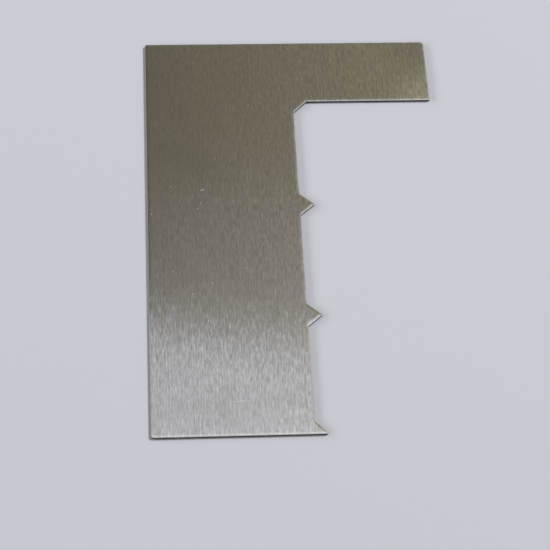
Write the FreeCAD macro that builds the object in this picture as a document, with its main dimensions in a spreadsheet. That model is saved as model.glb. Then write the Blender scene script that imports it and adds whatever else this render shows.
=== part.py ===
import FreeCAD, Part
import math
import os
import Sketcher

# Cake comb: one flat plate of stainless sheet, cut to an upside-down L. The arm lies on top of the
# cake, the blade stands beside it, and the teeth on the blade's inner edge draw level lines in the icing.
# The plate lies flat with its underside at Z = 0. The blade runs along Y with the arm at the +Y end,
# the teeth point to +X, and the origin is under the middle of the outline's bounding rectangle.

doc = FreeCAD.newDocument("cake_comb")

# Driving dimensions in millimetres, and the number of levels that the teeth mark on the cake
sizes = {
    "sheet_thickness": 1.5,
    "blade_width": 80.0,
    "cake_height": 200.0,       # from the board under the cake up to the arm's underside
    "arm_overhang": 75.0,       # how far the arm reaches in over the cake from the blade's inner edge
    "arm_height": 40.0,
    "level_count": 3,           # equal levels: a full tooth between each two, and the foot tooth below
    "tooth_depth": 7.8,
    "tooth_base": 13.3,
    "foot_tooth_depth": 6.9,    # the half tooth that runs along the board
    "foot_tooth_height": 7.3,
    "shoulder_bevel": 7.2,      # slope in the inner corner, which bevels the icing's top edge
    "tooth_tip_radius": 0.5,
    "arm_tip_radius": 0.5,
    "arm_top_radius": 2.0,      # the arm's upper outer corner, the most rounded of all
    "spine_top_radius": 1.2,
    "spine_foot_radius": 1.3,
    "edge_round": 0.2,          # round both faces, where the burr of the cut was taken off
}

sheet = doc.addObject("Spreadsheet::Sheet", "Sizes")
for row, (alias, value) in enumerate(sizes.items(), start=1):
    sheet.set(f"A{row}", alias)
    sheet.set(f"B{row}", str(value))
    sheet.setAlias(f"B{row}", alias)
doc.recompute()


def new_sketch(body, name):
    """An empty sketch on the body's own XY plane."""
    plane = next(item for item in body.Origin.OriginFeatures if item.Role == "XY_Plane")
    sketch = body.newObject("Sketcher::SketchObject", name)
    sketch.AttachmentSupport = (plane, [""])
    sketch.MapMode = "FlatFace"
    return sketch


def relate(sketch, kind, *where):
    """A geometric constraint without a size."""
    sketch.addConstraint(Sketcher.Constraint(kind, *where))


def dimension(sketch, name, expression, kind, *where):
    """A named dimension, bound to an expression of the sheet's sizes. Its drawn value comes last."""
    index = sketch.addConstraint(Sketcher.Constraint(kind, *where))
    sketch.renameConstraint(index, name)
    sketch.setExpression(f"Constraints.{name}", expression)


def place(sketch, name, expression, kind, item, value):
    """A dimension from the sketch's origin to where the item starts."""
    dimension(sketch, name, expression, kind, -1, 1, item, 1, value)


def add_outline(sketch, corners):
    """Closed outline through corners (x, y, name of the corner's radius or None), anticlockwise.

    A named radius becomes an arc tangent to its two edges and bound to that size. Returns the straight
    edges, each the one that leaves the corner of the same place in the list.
    """
    points = [FreeCAD.Vector(x, y, 0) for x, y, radius_name in corners]
    entries, leaves, centres = [], [], []
    for index, (x, y, radius_name) in enumerate(corners):
        radius = sizes[radius_name] if radius_name else 0
        back = (points[index - 1] - points[index]).normalize()
        ahead = (points[(index + 1) % len(points)] - points[index]).normalize()
        half_angle = back.getAngle(ahead) / 2
        setback = radius / math.tan(half_angle)
        entries.append(points[index] + back * setback)
        leaves.append(points[index] + ahead * setback)
        centres.append(points[index] + (back + ahead).normalize() * (radius / math.sin(half_angle)))

    edges = []
    for index, leave in enumerate(leaves):
        line = Part.LineSegment(leave, entries[(index + 1) % len(entries)])
        edges.append(sketch.addGeometry(line))

    for index, (x, y, radius_name) in enumerate(corners):
        if radius_name is None:
            relate(sketch, "Coincident", edges[index - 1], 2, edges[index], 1)
            continue
        start = entries[index] - centres[index]
        end = leaves[index] - centres[index]
        circle = Part.Circle(centres[index], FreeCAD.Vector(0, 0, 1), sizes[radius_name])
        curve = Part.ArcOfCircle(circle, math.atan2(start.y, start.x), math.atan2(end.y, end.x))
        arc = sketch.addGeometry(curve)
        relate(sketch, "Tangent", edges[index - 1], 2, arc, 1)
        relate(sketch, "Tangent", arc, 2, edges[index], 1)
        dimension(sketch, radius_name, f"Sizes.{radius_name}", "Radius", arc, sizes[radius_name])
    return edges


def add_apex(sketch, x, y, *flanks):
    """Construction point where a rounded tip's flanks would meet, which the tip's depth is measured to."""
    apex = sketch.addGeometry(Part.Point(FreeCAD.Vector(x, y, 0)), True)
    for flank in flanks:
        relate(sketch, "PointOnObject", apex, 1, flank)
    return apex


def draw_plate(body):
    """The plate's outline with the bevelled shoulder and the foot tooth, from the spine's foot."""
    inner_x = sizes["blade_width"]
    arm_x = inner_x + sizes["arm_overhang"]
    arm_y = sizes["cake_height"]
    top_y = arm_y + sizes["arm_height"]
    bevel = sizes["shoulder_bevel"]
    foot_x = inner_x + sizes["foot_tooth_depth"]
    root_y = sizes["foot_tooth_height"]

    sketch = new_sketch(body, "PlateOutline")
    foot, foot_flank, inner_edge, shoulder, arm_underside, arm_end, top, spine = add_outline(sketch, [
        (0, 0, "spine_foot_radius"),
        (foot_x, 0, "tooth_tip_radius"),
        (inner_x, root_y, None),
        (inner_x, arm_y - bevel, None),
        (inner_x + bevel, arm_y, None),
        (arm_x, arm_y, "arm_tip_radius"),
        (arm_x, top_y, "arm_top_radius"),
        (0, top_y, "spine_top_radius"),
    ])
    x_axis, y_axis = -1, -2
    for edge in (foot, arm_underside, top):
        relate(sketch, "Horizontal", edge)
    for edge in (inner_edge, arm_end, spine):
        relate(sketch, "Vertical", edge)
    relate(sketch, "PointOnObject", foot, 1, x_axis)
    relate(sketch, "PointOnObject", spine, 1, y_axis)
    foot_apex = add_apex(sketch, foot_x, 0, foot_flank, x_axis)

    place(sketch, "inner_x", "Sizes.blade_width", "DistanceX", inner_edge, inner_x)
    place(sketch, "arm_x", "Sizes.blade_width + Sizes.arm_overhang", "DistanceX", arm_end, arm_x)
    place(sketch, "foot_x", "Sizes.blade_width + Sizes.foot_tooth_depth", "DistanceX", foot_apex, foot_x)
    place(sketch, "root_y", "Sizes.foot_tooth_height", "DistanceY", inner_edge, root_y)
    place(sketch, "arm_y", "Sizes.cake_height", "DistanceY", arm_underside, arm_y)
    place(sketch, "top_y", "Sizes.cake_height + Sizes.arm_height", "DistanceY", top, top_y)
    dimension(sketch, "bevel_x", "Sizes.shoulder_bevel", "DistanceX", shoulder, 1, shoulder, 2, bevel)
    dimension(sketch, "bevel_y", "Sizes.shoulder_bevel", "DistanceY", shoulder, 1, shoulder, 2, bevel)
    return sketch


def draw_tooth(body):
    """One full tooth on the inner edge, where the lowest level of the cake ends."""
    inner_x = sizes["blade_width"]
    tip_x = inner_x + sizes["tooth_depth"]
    level_y = sizes["cake_height"] / sizes["level_count"]
    base_length = sizes["tooth_base"]

    sketch = new_sketch(body, "ToothOutline")
    lower_flank, upper_flank, base = add_outline(sketch, [
        (inner_x, level_y - base_length / 2, None),
        (tip_x, level_y, "tooth_tip_radius"),
        (inner_x, level_y + base_length / 2, None),
    ])
    relate(sketch, "Vertical", base)
    relate(sketch, "Equal", lower_flank, upper_flank)
    apex = add_apex(sketch, tip_x, level_y, lower_flank, upper_flank)

    place(sketch, "inner_x", "Sizes.blade_width", "DistanceX", base, inner_x)
    place(sketch, "tip_x", "Sizes.blade_width + Sizes.tooth_depth", "DistanceX", apex, tip_x)
    place(sketch, "level_y", "Sizes.cake_height / Sizes.level_count", "DistanceY", apex, level_y)
    dimension(sketch, "base_length", "Sizes.tooth_base", "DistanceY", base, 2, base, 1, base_length)
    return sketch


def add_pad(body, name, sketch):
    """The sketch's area through the sheet's whole thickness."""
    pad = body.newObject("PartDesign::Pad", name)
    pad.Profile = sketch
    pad.setExpression("Length", "Sizes.sheet_thickness")
    doc.recompute()
    return pad


def make_comb_plate():
    body = doc.addObject("PartDesign::Body", "CombPlate")
    body.Label = "comb_plate"
    add_pad(body, "Plate", draw_plate(body))

    # The toothed edge: a full tooth between each two levels
    tooth_outline = draw_tooth(body)
    tooth = add_pad(body, "Tooth", tooth_outline)
    teeth = body.newObject("PartDesign::LinearPattern", "Teeth")
    teeth.Originals = [tooth]
    teeth.Direction = (tooth_outline, ["V_Axis"])
    teeth.Mode = "Spacing"
    teeth.setExpression("Offset", "Sizes.cake_height / Sizes.level_count")
    teeth.setExpression("Occurrences", "Sizes.level_count - 1")
    body.Tip = teeth
    doc.recompute()

    # The rounded edges run all round both flat faces
    flat_faces = []
    for number, face in enumerate(teeth.Shape.Faces, start=1):
        if face.Surface.TypeId == "Part::GeomPlane" and abs(face.normalAt(0, 0).z) > 0.99:
            flat_faces.append(f"Face{number}")
    edge_round = body.newObject("PartDesign::Fillet", "EdgeRound")
    edge_round.Base = (teeth, flat_faces)
    edge_round.setExpression("Radius", "Sizes.edge_round")
    body.Tip = edge_round

    # From the spine's foot, where the sketches start, to the middle of the bounding rectangle
    body.setExpression("Placement.Base.x", "-(Sizes.blade_width + Sizes.arm_overhang) / 2")
    body.setExpression("Placement.Base.y", "-(Sizes.cake_height + Sizes.arm_height) / 2")
    doc.recompute()
    return body


comb_plate = make_comb_plate()

# Nothing is written unless every feature worked and the plate is one sound solid
for item in doc.Objects:
    if "Invalid" in item.State or "Error" in item.State:
        raise RuntimeError(f"{item.Name} failed: {item.State}")
    if item.TypeId == "Sketcher::SketchObject" and not item.FullyConstrained:
        raise RuntimeError(f"{item.Name} isn't fully constrained")
shape = comb_plate.Shape
if shape.isNull() or not shape.isValid() or len(shape.Solids) != 1:
    raise RuntimeError(f"{comb_plate.Label} isn't one valid solid")

os.makedirs("parts", exist_ok=True)
shape.exportStep(os.path.join("parts", comb_plate.Label + ".step"))
print(f"{comb_plate.Label}: {len(shape.Faces)} faces, {shape.Volume / 1000:.2f} cm3")
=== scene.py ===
import math

import bpy
from mathutils import Matrix, Vector


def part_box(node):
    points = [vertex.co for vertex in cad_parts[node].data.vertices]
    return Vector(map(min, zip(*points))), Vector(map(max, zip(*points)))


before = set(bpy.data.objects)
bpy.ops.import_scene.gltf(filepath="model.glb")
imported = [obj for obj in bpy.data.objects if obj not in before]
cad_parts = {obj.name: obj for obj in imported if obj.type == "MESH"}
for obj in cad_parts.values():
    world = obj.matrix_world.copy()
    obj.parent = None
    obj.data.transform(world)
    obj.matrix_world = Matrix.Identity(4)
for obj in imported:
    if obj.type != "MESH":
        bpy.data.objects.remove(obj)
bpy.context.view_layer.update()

# Cake comb of brushed stainless sheet, lying flat. Lengths in the dictionaries are millimetres and
# angles are degrees, in the frame's own axes: X to the teeth, Y to the arm, Z up.
mm = 0.001
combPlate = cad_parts["comb_plate"]
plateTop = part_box("comb_plate")[1].z


def toLinear(hexColour):
    # sRGB hex to linear light, with alpha 1
    linear = []
    for start in (1, 3, 5):
        value = int(hexColour[start:start + 2], 16) / 255
        linear.append(value / 12.92 if value <= 0.04045 else ((value + 0.055) / 1.055) ** 2.4)
    return linear + [1.0]


def emptyTree(owner):
    # The node tree of a material or a world, cleared for its own shader
    owner.use_nodes = True
    owner.node_tree.nodes.clear()
    return owner.node_tree


def addNode(tree, kind, inputs=None, **settings):
    # Adds one node. Settings are its own properties. Inputs are values, sockets to link from, or
    # nodes, each of which is linked from the first output that it shows
    node = tree.nodes.new(kind)
    for name, value in settings.items():
        setattr(node, name, value)
    for name, value in (inputs or {}).items():
        if isinstance(value, bpy.types.Node):
            value = next(socket for socket in value.outputs if socket.enabled)
        if isinstance(value, bpy.types.NodeSocket):
            tree.links.new(value, node.inputs[name])
        else:
            node.inputs[name].default_value = value
    return node


def layOver(tree, surface, value, finish, limits=(0.0, 1.0), curve="LINEAR"):
    # Lays a finish over a surface: none of it where the value is at the first limit and all of it at
    # the second. Both are dictionaries of a shader's inputs, and the surface is changed
    cover = addNode(
        tree, "ShaderNodeMapRange", {"Value": value, "From Min": limits[0], "From Max": limits[1]},
        interpolation_type=curve)
    for name, above in finish.items():
        # A mix takes two colours at its sockets 6 and 7, and two numbers at 2 and 3
        kind, first, second = ("RGBA", 6, 7) if "Color" in name else ("FLOAT", 2, 3)
        surface[name] = addNode(
            tree, "ShaderNodeMix", {0: cover, first: surface[name], second: above}, data_type=kind)


# Brushed stainless steel: sheet ground along the blade by an abrasive belt, then cut by laser. The
# short fine grooves spread a reflection sideways and keep it sharp lengthwise, so the plate shows
# soft bands of light and dark across the blade, broken up into fine streaks along it. A pattern is
# given by its patches' size along X, Y and Z, then its noise's detail and roughness. Slopes are
# what the surface leans by along X, Y and Z.
steel = {
    "groove": {"colour": "#aeaca9", "roughness": 0.222},
    "ridge": {"colour": "#dedddb", "roughness": 0.092},
    "anisotropy": 1.0,                         # all the grooves run one way
    "streaks": ((0.8, 4.6, 0.8), 2.0, 0.7),    # real grooves are 0.05 mm wide, drawn coarser to show
    "grain": ((0.35, 45.0, 0.35), 1.0, 0.5),   # the longest grooves run on under the streaks
    "grainShare": 0.3,
    "ridgeLimits": (0.36, 0.76),               # the noise of a full groove and of a full ridge
    "streakSlopes": (0.022, 0.046, 0.0),       # they make the streaks glint
    "clouds": ((45.0, 45.0, 45.0), 3.0, 0.5),  # faint and rougher, where the plate was wiped
    "cloudRoughness": 0.03,                    # what the middle of a cloud adds
    "bow": ((60.0, 60.0, 60.0), 1.0, 0.5),     # sheet is never quite flat, so the bands wander
    "bowSlopes": (0.008, 0.008, 0.0),
    "edgeReach": 2.5,                          # how far in from its outline the sheet rolls down
    "edgeSlope": 0.27,                         # and how steeply
    "edgeSamples": 8,                          # rays that look for the outline
    "bends": [                                 # the arm's end is bent by a hair: place, reach, slopes
        ((82.0, 76.0), 30.0, (0.11, -0.02, 0.0)),
        ((72.0, 117.0), 24.0, (-0.04, 0.0, 0.0)),
    ],
}
# Darker patches on the upper face, as place, length, width, turn and strength
darkerPatches = {
    "colour": "#a9a7a2",
    "patches": ((12.0, 12.0, 12.0), 3.0, 0.6),
    "patchLimits": (0.3, 0.6),                 # the noise of no patch and of a full patch
    "spots": [((-36.0, -104.0), 130.0, 30.0, 2, 0.45), ((-52.0, 38.0), 66.0, 36.0, -25, 0.4)],
}
# Handling marks on the upper face, which show pale where the steel mirrors something dark: tiny
# nicks, and scratches as place, length, width, turn and depth
marks = {
    "colour": "#f2f1ee",
    "roughness": 0.35,
    "slopes": (0.0, -0.13, 0.0),               # their raised lips catch the ceiling's light
    "solidShare": 0.5,                         # how much of a mark's radius has its full strength
    "nickSize": 0.5,
    "nicks": [
        (-50.8, 107.5), (-42.5, 109.2), (1.6, 116.7), (-1.9, 92.2), (50.6, 108.6), (-41.0, 43.1),
        (-22.0, 78.2), (-33.5, 41.7), (-51.4, 11.5), (-65.0, -26.2), (-27.3, -24.9), (-44.8, -33.9),
        (-55.3, -40.0), (-47.6, -55.7), (-49.7, 14.7), (-65.1, 25.7), (-75.4, 8.5),
    ],
    "scratches": [((-48.5, 23.3), 3.2, 0.35, 12, 0.9), ((-33.2, -101.2), 7.5, 0.3, 5, 0.5)],
}
# The rounding of both faces' edges, painted paler than the steel as a painted highlight along the
# edges
roundingHighlight = {
    "colour": "#ecebe9",
    "roughness": 0.2,
    "facesUp": (0.995, 0.93),                  # the normal's height where it starts and is full
}
# The cut edge: the laser leaves it dull, with a dark film of oxide and fine upright lines, and its
# colours are painted darker still, as painted shade for the dark band under the edges
cutEdge = {
    "colour": "#201e1c",
    "lineColour": "#403d3a",
    "roughness": 0.5,
    "metallic": 0.0,
    "lines": ((0.4, 0.4, 4.0), 1.0, 0.5),      # real ones are 0.1 to 0.2 mm apart, drawn coarser
    "facesUp": (0.6, 0.4),
}


def finishOf(look):
    # A look's colour and roughness, as the shader's inputs
    return {"Base Color": toLinear(look["colour"]), "Roughness": look["roughness"]}


def stretchedNoise(tree, position, sizes, detail, roughness):
    # Noise whose patches have these sizes along X, Y and Z
    scaled = addNode(
        tree, "ShaderNodeMapping", {"Vector": position, "Scale": [1 / (size * mm) for size in sizes]})
    return addNode(
        tree, "ShaderNodeTexNoise",
        {"Vector": scaled, "Scale": 1.0, "Detail": detail, "Roughness": roughness})


def ellipseMask(tree, position, centre, length, width, turn, strength, solidShare=0.0):
    # An ellipse on the upper face, at this strength in its solid middle and fading out to its rim
    local = addNode(
        tree, "ShaderNodeMapping",
        {"Vector": position,
         "Location": (centre[0] * mm, centre[1] * mm, plateTop),
         "Rotation": (0, 0, math.radians(turn)),
         "Scale": [size * mm / 2 for size in (length, width, width)]},
        vector_type="TEXTURE")
    outwards = addNode(tree, "ShaderNodeVectorMath", {0: local}, operation="LENGTH")
    return addNode(
        tree, "ShaderNodeMapRange",
        {"Value": outwards, "From Min": 1.0, "From Max": solidShare, "To Max": strength})


def marksMask(tree, position):
    # All the nicks and scratches together
    spots = [(centre, marks["nickSize"], marks["nickSize"], 0, 1.0) for centre in marks["nicks"]]
    together = 0.0
    for spot in spots + marks["scratches"]:
        mark = ellipseMask(tree, position, *spot, marks["solidShare"])
        together = addNode(tree, "ShaderNodeMath", {0: together, 1: mark}, operation="MAXIMUM")
    return together


def makeSteel():
    material = bpy.data.materials.new("brushedStainlessSteel")
    tree = emptyTree(material)
    position = addNode(tree, "ShaderNodeTexCoord").outputs["Object"]

    # Pale ridges over darker, rougher grooves, from noise stretched along the blade
    streakNoise = stretchedNoise(tree, position, *steel["streaks"])
    grainNoise = stretchedNoise(tree, position, *steel["grain"])
    grooveLevel, ridgeLevel = steel["ridgeLimits"]
    ridges = 0.0
    for noise, share in ((streakNoise, 1 - steel["grainShare"]), (grainNoise, steel["grainShare"])):
        ridge = addNode(
            tree, "ShaderNodeMapRange",
            {"Value": noise, "From Min": grooveLevel, "From Max": ridgeLevel, "To Max": share})
        ridges = addNode(tree, "ShaderNodeMath", {0: ridges, 1: ridge}, operation="ADD")
    surface = {**finishOf(steel["groove"]), "Metallic": 1.0}
    layOver(tree, surface, ridges, finishOf(steel["ridge"]))

    # Clouds, nicks and scratches that use has left on it, and darker patches
    clouds = stretchedNoise(tree, position, *steel["clouds"])
    surface["Roughness"] = addNode(
        tree, "ShaderNodeMath", {0: clouds, 1: steel["cloudRoughness"], 2: surface["Roughness"]},
        operation="MULTIPLY_ADD")
    patchNoise = stretchedNoise(tree, position, *darkerPatches["patches"])
    cleanLevel, patchLevel = darkerPatches["patchLimits"]
    patches = addNode(
        tree, "ShaderNodeMapRange",
        {"Value": patchNoise, "From Min": cleanLevel, "From Max": patchLevel})
    for spot in darkerPatches["spots"]:
        darkerPatch = ellipseMask(tree, position, *spot)
        darkerPatch = addNode(tree, "ShaderNodeMath", {0: darkerPatch, 1: patches}, operation="MULTIPLY")
        layOver(tree, surface, darkerPatch, {"Base Color": toLinear(darkerPatches["colour"])})
    marked = marksMask(tree, position)
    layOver(tree, surface, marked, finishOf(marks))

    # The rounding, painted paler as a highlight, is where the surface leans, and the cut edge,
    # painted darker as shade, is where it faces sideways
    normal = addNode(tree, "ShaderNodeNewGeometry").outputs["Normal"]
    height = addNode(tree, "ShaderNodeSeparateXYZ", {"Vector": normal}).outputs["Z"]
    facesUp = addNode(tree, "ShaderNodeMath", {0: height}, operation="ABSOLUTE")
    # Painted highlight: the rounding gets a paler colour than the steel, so the edges show a bright
    # line
    layOver(tree, surface, facesUp, finishOf(roundingHighlight), roundingHighlight["facesUp"])
    cutFinish = {**finishOf(cutEdge), "Metallic": cutEdge["metallic"]}
    cutLines = stretchedNoise(tree, position, *cutEdge["lines"])
    layOver(tree, cutFinish, cutLines, {"Base Color": toLinear(cutEdge["lineColour"])})
    # Painted shade: the cut edge's dark colours stand in for the shade under the plate's edges, on
    # top of its dull oxide
    layOver(tree, surface, facesUp, cutFinish, cutEdge["facesUp"])

    # What leans the surface, as vectors or masks, and the slopes that each is multiplied by
    rolled = addNode(
        tree, "ShaderNodeBevel", {"Radius": steel["edgeReach"] * mm}, samples=steel["edgeSamples"])
    outward = addNode(tree, "ShaderNodeVectorMath", {0: rolled, 1: normal}, operation="SUBTRACT")
    leans = [(outward, [steel["edgeSlope"]] * 3)]
    bowNoise = stretchedNoise(tree, position, *steel["bow"])
    noiseMean = (0.5, 0.5, 0.5)
    for noise, slopes in ((streakNoise, steel["streakSlopes"]), (bowNoise, steel["bowSlopes"])):
        eitherWay = addNode(
            tree, "ShaderNodeVectorMath", {0: noise.outputs["Color"], 1: noiseMean},
            operation="SUBTRACT")
        leans.append((eitherWay, slopes))
    leans.append((marked, marks["slopes"]))
    for centre, reach, slopes in steel["bends"]:
        leans.append((ellipseMask(tree, position, centre, 2 * reach, 2 * reach, 0, 1.0), slopes))
    leaning = normal
    for lean, slopes in leans:
        leaning = addNode(
            tree, "ShaderNodeVectorMath", {0: lean, 1: slopes, 2: leaning}, operation="MULTIPLY_ADD")
    leaning = addNode(tree, "ShaderNodeVectorMath", {0: leaning}, operation="NORMALIZE")

    # The tangent lies across the grooves, which is the way that they spread the light
    acrossBlade = addNode(tree, "ShaderNodeTangent", direction_type="RADIAL", axis="Y")
    shader = addNode(
        tree, "ShaderNodeBsdfPrincipled",
        {**surface, "Anisotropic": steel["anisotropy"], "Tangent": acrossBlade, "Normal": leaning})
    addNode(tree, "ShaderNodeOutputMaterial", {"Surface": shader})
    return material


combPlate.data.materials.clear()
combPlate.data.materials.append(makeSteel())
print("Steel: brushed stainless on", combPlate.name)

# Plain pale floor, of board with a matt paint that hardly mirrors anything
floorLook = {"colour": "#919296", "roughness": 0.9, "specular": 0.1, "width": 8000.0}


def makeFloor():
    material = bpy.data.materials.new("mattPaintedBoard")
    tree = emptyTree(material)
    shader = addNode(
        tree, "ShaderNodeBsdfPrincipled",
        {**finishOf(floorLook), "Specular IOR Level": floorLook["specular"]})
    addNode(tree, "ShaderNodeOutputMaterial", {"Surface": shader})
    half = floorLook["width"] * mm / 2
    corners = [(-half, -half, 0), (half, -half, 0), (half, half, 0), (-half, half, 0)]
    mesh = bpy.data.meshes.new("floor")
    mesh.from_pydata(corners, [], [(0, 1, 2, 3)])
    mesh.materials.append(material)
    floor = bpy.data.objects.new("floor", mesh)
    bpy.context.scene.collection.objects.link(floor)
    return floor


makeFloor()
print("Floor: plain and pale")

# Soft studio light. The ceiling box hangs level, and the steel mirrors its straight north edge as the
# step from dark to light across the blade. The ridge box hangs level just below it and adds to it,
# and the other boxes face the plate. Polarising filters keep the key and window boxes out of the
# steel's mirror image. Sizes are width and depth, and brightness is for equal areas of the boxes.
lightBoxes = {
    "ceilingBox": {
        "colour": "#e4ebff", "brightness": 0.65, "polarised": False,
        "size": (2200, 850), "place": (73, 215, 1300), "turn": -8.5,
    },
    "ridgeBox": {
        "colour": "#ffffff", "brightness": 0.5, "polarised": False,
        "size": (2200, 240), "place": (68, 180, 1290), "turn": -8.5,
    },
    "southBox": {
        "colour": "#ffffff", "brightness": 0.5, "polarised": False,
        "size": (1400, 700), "place": (0, -1350, 900),
    },
    "keyBox": {
        "colour": "#ffffff", "brightness": 109.0, "polarised": True,
        "size": (1125, 800), "place": (2700, 1400, 3150),
    },
    "windowBox": {
        "colour": "#f4f7ff", "brightness": 18.0, "polarised": True,
        "size": (4400, 700), "place": (-2900, 0, 880),
    },
}


def addLightBox(name, box):
    width, depth = (side * mm for side in box["size"])
    light = bpy.data.lights.new(name, "AREA")
    light.shape = "RECTANGLE"
    light.size = width
    light.size_y = depth
    light.color = toLinear(box["colour"])[:3]
    light.energy = box["brightness"] * width * depth * math.pi
    lightObject = bpy.data.objects.new(name, light)
    place = Vector(box["place"]) * mm
    lightObject.location = place
    if "turn" in box:
        lightObject.rotation_euler = (0, 0, math.radians(box["turn"]))    # faces straight down
    else:
        lightObject.rotation_euler = place.to_track_quat("Z", "Y").to_euler()
    lightObject.visible_glossy = not box["polarised"]
    bpy.context.scene.collection.objects.link(lightObject)


for name, box in lightBoxes.items():
    addLightBox(name, box)

# The room round the boxes. To the north a dim warm wall, then the ceiling's edge above it, both paler
# to the east and in the far west, a grey room behind, and pale walls low down on every side.
room = {
    "wall": {"west": "#1c1915", "east": "#ccc4a8", "farWest": "#8a857c"},
    "ceiling": {"west": "#524f4a", "east": "#e4dfd1", "farWest": "#cfcbc3"},
    "behind": {"west": "#45474b", "east": "#85888d"},
    "lowWall": {"foot": "#dcdbd8", "head": "#a6a5a2"},
    "westToEast": (-0.125, 0.33),     # across the room, as the direction's X
    "farWestFrom": (-0.16, -0.42),
    "wallTop": (0.66, 0.61),          # slope of the line of sight off the vertical, as Y over Z
    "wallTopSkew": 0.23,              # how far the wall's top drops to the east
    "behindFrom": (0.1, -0.2),
    "footToHead": (0.0, 0.5),         # height of the line of sight, as the direction's Z
    "lowWallTop": (0.72, 0.5),
}


def makeWorld():
    world = bpy.data.worlds.new("studioRoom")
    tree = emptyTree(world)
    direction = addNode(tree, "ShaderNodeTexCoord").outputs["Generated"]
    along = addNode(tree, "ShaderNodeSeparateXYZ", {"Vector": direction}).outputs
    skewed = addNode(
        tree, "ShaderNodeMath", {0: along["X"], 1: -room["wallTopSkew"], 2: along["Y"]},
        operation="MULTIPLY_ADD")
    northward = addNode(tree, "ShaderNodeMath", {0: skewed, 1: along["Z"]}, operation="DIVIDE")

    parts = {}
    for name in ("wall", "ceiling", "behind"):
        colours = {side: {"Color": toLinear(colour)} for side, colour in room[name].items()}
        part = colours["west"]
        layOver(tree, part, along["X"], colours["east"], room["westToEast"])
        if "farWest" in colours:
            layOver(tree, part, along["X"], colours["farWest"], room["farWestFrom"], "SMOOTHSTEP")
        parts[name] = part
    view = parts["wall"]
    layOver(tree, view, northward, parts["ceiling"], room["wallTop"], "SMOOTHSTEP")
    layOver(tree, view, northward, parts["behind"], room["behindFrom"], "SMOOTHSTEP")
    lowWall = {"Color": toLinear(room["lowWall"]["foot"])}
    lowWallHead = {"Color": toLinear(room["lowWall"]["head"])}
    layOver(tree, lowWall, along["Z"], lowWallHead, room["footToHead"])
    layOver(tree, view, along["Z"], lowWall, room["lowWallTop"], "SMOOTHSTEP")
    background = addNode(tree, "ShaderNodeBackground", view)
    addNode(tree, "ShaderNodeOutputWorld", {"Surface": background})
    return world


bpy.context.scene.world = makeWorld()
print("Lights:", ", ".join(lightBoxes))

# The camera looks down from beyond the plate's foot, tipped a little to one side
cameraView = {
    "place": (-72.5, -488.4, 775.8),
    "aim": (-12.8, -29.6, 1.5),
    "roll": 5.3,
    "lens": 115.2,
    "sensor": 36.0,
    "clipStart": 10.0,
}


def addCamera():
    camera = bpy.data.cameras.new("camera")
    camera.lens = cameraView["lens"]
    camera.sensor_width = cameraView["sensor"]
    camera.clip_start = cameraView["clipStart"] * mm
    cameraObject = bpy.data.objects.new("camera", camera)
    place = Vector(cameraView["place"]) * mm
    aim = Vector(cameraView["aim"]) * mm
    level = (aim - place).to_track_quat("-Z", "Y").to_matrix()
    roll = Matrix.Rotation(math.radians(cameraView["roll"]), 3, "Z")
    cameraObject.matrix_world = Matrix.LocRotScale(place, (level @ roll).to_quaternion(), None)
    bpy.context.scene.collection.objects.link(cameraObject)
    bpy.context.scene.camera = cameraObject


addCamera()
bpy.context.scene.view_settings.view_transform = "Standard"
print("Camera: in place")
